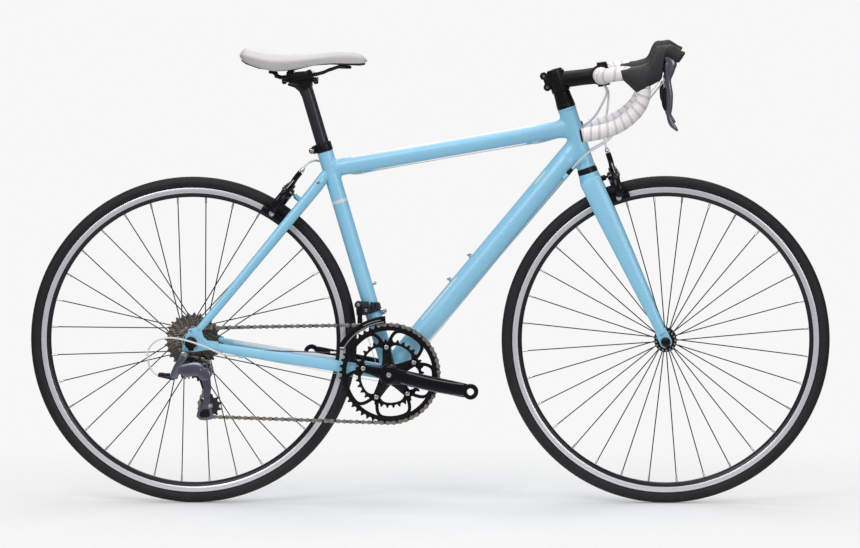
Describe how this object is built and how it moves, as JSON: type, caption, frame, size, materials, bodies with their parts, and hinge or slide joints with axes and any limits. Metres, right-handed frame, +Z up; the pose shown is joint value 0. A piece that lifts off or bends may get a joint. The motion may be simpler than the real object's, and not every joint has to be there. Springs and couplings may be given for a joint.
{
  "type": "road bicycle",
  "caption": "Road bicycle with drop bar, round-tube frame, spoked wheels, side-pull brakes, chain drive and gear mechs.",
  "frame": {"origin": "on the ground, midway between the two axles, in the wheels' plane", "axes": "+X forwards, +Y to the rider's left, +Z up"},
  "size_m": [1.641, 0.4356, 0.9498],
  "materials": {
    "sky_blue_paint": "gloss",
    "black_anodised": "satin",
    "gloss_black": "gloss",
    "grey_blue_metal": "satin",
    "chain_steel": "brushed",
    "tyre_rubber": "matte",
    "black_plastic": "matte",
    "off_white_tape": "matte",
    "off_white_cover": "satin",
    "hood_rubber": "matte",
    "white_housing": "satin"
  },
  "bodies": {
    "frame": {"head_tube": "sky_blue_paint", "top_tube": "sky_blue_paint", "down_tube": "sky_blue_paint", "seat_tube": "sky_blue_paint", "bottom_bracket_shell": "sky_blue_paint", "chainstay_right": "sky_blue_paint", "chainstay_left": "sky_blue_paint", "seatstay_right": "sky_blue_paint", "seatstay_left": "sky_blue_paint", "brake_bridge": "sky_blue_paint", "seat_clamp_collar": "black_anodised", "rear_axle_skewer": "black_anodised", "front_derailleur": "black_anodised", "chain": "chain_steel", "rear_brake_cable": "white_housing", "front_shift_cable": "white_housing", "rear_shift_cable": "white_housing"},
    "steering": {"fork": "sky_blue_paint", "stem": "black_anodised", "stem_faceplate": "black_anodised", "handlebar": "black_anodised", "bar_tape_right": "off_white_tape", "bar_tape_left": "off_white_tape", "hood_right": "hood_rubber", "hood_left": "hood_rubber", "front_axle_skewer": "black_anodised", "front_brake_cable": "white_housing"},
    "front_wheel": {"front_hub": "black_anodised", "front_rim": "black_anodised", "front_tyre": "tyre_rubber"},
    "front_quick_release": {"front_quick_release_lever": "black_anodised"},
    "rear_wheel": {"rear_hub": "black_anodised", "rear_rim": "black_anodised", "rear_tyre": "tyre_rubber"},
    "rear_quick_release": {"rear_quick_release_lever": "black_anodised"},
    "cassette": {"cassette": "chain_steel"},
    "crankset": {"crank_right": "gloss_black", "chainring_large": "gloss_black", "crank_left": "gloss_black"},
    "seatpost": {"seatpost": "black_anodised"},
    "saddle_clamp": {"saddle_clamp": "black_anodised"},
    "saddle": {"saddle_rails": "chain_steel", "saddle_shell": "black_plastic", "saddle_cushion": "off_white_cover"},
    "brake_lever_right": {"brake_lever_right": "grey_blue_metal"},
    "brake_lever_left": {"brake_lever_left": "grey_blue_metal"},
    "shift_paddle_right": {"shift_paddle_right": "black_anodised"},
    "shift_paddle_left": {"shift_paddle_left": "black_anodised"},
    "front_brake_right": {"front_brake_arm_right": "black_anodised"},
    "front_brake_left": {"front_brake_arm_left": "black_anodised"},
    "rear_brake_right": {"rear_brake_arm_right": "black_anodised"},
    "rear_brake_left": {"rear_brake_arm_left": "black_anodised"},
    "front_derailleur_cage": {"front_derailleur_cage": "grey_blue_metal"},
    "rear_derailleur_body": {"rear_derailleur_body": "grey_blue_metal"},
    "rear_derailleur_link": {"rear_derailleur_link": "grey_blue_metal"},
    "rear_derailleur_knuckle": {"rear_derailleur_knuckle": "grey_blue_metal"},
    "rear_derailleur_cage": {"rear_derailleur_cage": "black_anodised"},
    "guide_pulley": {"guide_pulley": "black_plastic"},
    "tension_pulley": {"tension_pulley": "black_plastic"}
  },
  "joints": [
    {"name": "steering_turn", "type": "hinge", "parent": "frame", "child": "steering", "pos_m": [0.32318, 0, 0.68897], "axis": [-0.3123, 0, 0.95], "range_deg": [-70, 70], "deforming": ["rear_brake_cable", "front_shift_cable", "rear_shift_cable"]},
    {"name": "front_wheel_spin", "type": "hinge", "parent": "steering", "child": "front_wheel", "pos_m": [0.4845, 0, 0.336], "axis": [0, 1, 0], "continuous": true},
    {"name": "front_quick_release_throw", "type": "hinge", "parent": "steering", "child": "front_quick_release", "pos_m": [0.4845, 0.0693, 0.336], "axis": [-0.9057, 0, -0.424], "range_deg": [0, 180]},
    {"name": "rear_wheel_spin", "type": "hinge", "parent": "frame", "child": "rear_wheel", "pos_m": [-0.4845, 0, 0.336], "axis": [0, 1, 0], "continuous": true},
    {"name": "rear_quick_release_throw", "type": "hinge", "parent": "frame", "child": "rear_quick_release", "pos_m": [-0.4845, 0.0843, 0.336], "axis": [-0.8829, 0, 0.4695], "range_deg": [0, 180]},
    {"name": "crank_spin", "type": "hinge", "parent": "frame", "child": "crankset", "pos_m": [-0.07985, 0, 0.27], "axis": [0, 1, 0], "continuous": true, "deforming": ["chain"]},
    {"name": "cassette_spin", "type": "hinge", "parent": "frame", "child": "cassette", "pos_m": [-0.4845, 0, 0.336], "axis": [0, 1, 0], "continuous": true},
    {"name": "seatpost_height", "type": "slide", "parent": "frame", "child": "seatpost", "axis": [-0.2807, 0, 0.9598], "range_m": [-0.05, 0.05]},
    {"name": "saddle_tilt", "type": "hinge", "parent": "seatpost", "child": "saddle_clamp", "pos_m": [-0.25302, 0, 0.8622], "axis": [0, 1, 0], "range_deg": [-8, 8]},
    {"name": "saddle_position", "type": "slide", "parent": "saddle_clamp", "child": "saddle", "axis": [0.9962, 0, 0.0872], "range_m": [-0.01, 0.01]},
    {"name": "brake_lever_right_pull", "type": "hinge", "parent": "steering", "child": "brake_lever_right", "pos_m": [0.49765, -0.2, 0.92387], "axis": [0, 1, 0], "range_deg": [0, 14], "stiffness_Nm_per_rad": 1.5},
    {"name": "shift_paddle_right_push", "type": "hinge", "parent": "brake_lever_right", "child": "shift_paddle_right", "pos_m": [0.47765, -0.1975, 0.86186], "axis": [1, 0, 0], "range_deg": [0, 12], "stiffness_Nm_per_rad": 0.3},
    {"name": "brake_lever_left_pull", "type": "hinge", "parent": "steering", "child": "brake_lever_left", "pos_m": [0.49765, 0.2, 0.92387], "axis": [0, 1, 0], "range_deg": [0, 14], "stiffness_Nm_per_rad": 1.5},
    {"name": "shift_paddle_left_push", "type": "hinge", "parent": "brake_lever_left", "child": "shift_paddle_left", "pos_m": [0.47765, 0.1975, 0.86186], "axis": [-1, 0, 0], "range_deg": [0, 12], "stiffness_Nm_per_rad": 0.3},
    {"name": "front_brake_right_squeeze", "type": "hinge", "parent": "steering", "child": "front_brake_right", "pos_m": [0.37077, 0, 0.6723], "axis": [0.95, 0, 0.3123], "range_deg": [0, 2.4], "deforming": ["front_brake_cable"]},
    {"name": "rear_brake_right_squeeze", "type": "hinge", "parent": "frame", "child": "rear_brake_right", "pos_m": [-0.28195, 0, 0.63841], "axis": [0.7746, 0, -0.6325], "range_deg": [0, 2.4]},
    {"name": "front_brake_left_squeeze", "type": "hinge", "parent": "steering", "child": "front_brake_left", "pos_m": [0.37077, 0, 0.6723], "axis": [-0.95, 0, -0.3123], "range_deg": [0, 2.4]},
    {"name": "rear_brake_left_squeeze", "type": "hinge", "parent": "frame", "child": "rear_brake_left", "pos_m": [-0.28195, 0, 0.63841], "axis": [-0.7746, 0, 0.6325], "range_deg": [0, 2.4]},
    {"name": "front_derailleur_shift", "type": "slide", "parent": "frame", "child": "front_derailleur_cage", "axis": [0, 1, 0], "range_m": [0, 0.0065]},
    {"name": "rear_derailleur_swing", "type": "hinge", "parent": "frame", "child": "rear_derailleur_body", "pos_m": [-0.498, -0.0713, 0.312], "axis": [0, 1, 0], "range_deg": [-2, 10]},
    {"name": "rear_derailleur_shift", "type": "hinge", "parent": "rear_derailleur_body", "child": "rear_derailleur_link", "pos_m": [-0.5, -0.074, 0.272], "axis": [0, 0.7071, 0.7071], "range_deg": [-15.9, 51.9]},
    {"name": "rear_derailleur_knuckle_turn", "type": "hinge", "parent": "rear_derailleur_link", "child": "rear_derailleur_knuckle", "pos_m": [-0.4572, -0.08384, 0.28184], "axis": [0, 0.7071, 0.7071], "range_deg": [-51.9, 15.9]},
    {"name": "rear_derailleur_cage_swing", "type": "hinge", "parent": "rear_derailleur_knuckle", "child": "rear_derailleur_cage", "pos_m": [-0.467, -0.0559, 0.2785], "axis": [0, 1, 0], "range_deg": [-45, 25], "stiffness_Nm_per_rad": 0.8},
    {"name": "guide_pulley_spin", "type": "hinge", "parent": "rear_derailleur_cage", "child": "guide_pulley", "pos_m": [-0.467, -0.0506, 0.2785], "axis": [0, 1, 0], "continuous": true},
    {"name": "tension_pulley_spin", "type": "hinge", "parent": "rear_derailleur_cage", "child": "tension_pulley", "pos_m": [-0.44782, -0.0506, 0.20455], "axis": [0, 1, 0], "continuous": true}
  ],
  "couplings": [
    {"joint": "cassette_spin", "follows": "crank_spin", "ratio": 3.5714},
    {"joint": "guide_pulley_spin", "follows": "crank_spin", "ratio": -4.5455},
    {"joint": "tension_pulley_spin", "follows": "crank_spin", "ratio": 4.5455},
    {"joint": "front_brake_right_squeeze", "follows": "brake_lever_left_pull", "ratio": 0.16786},
    {"joint": "front_brake_left_squeeze", "follows": "brake_lever_left_pull", "ratio": 0.16786},
    {"joint": "rear_brake_right_squeeze", "follows": "brake_lever_right_pull", "ratio": 0.16786},
    {"joint": "rear_brake_left_squeeze", "follows": "brake_lever_right_pull", "ratio": 0.16786},
    {"joint": "rear_derailleur_knuckle_turn", "follows": "rear_derailleur_shift", "ratio": -1}
  ]
}
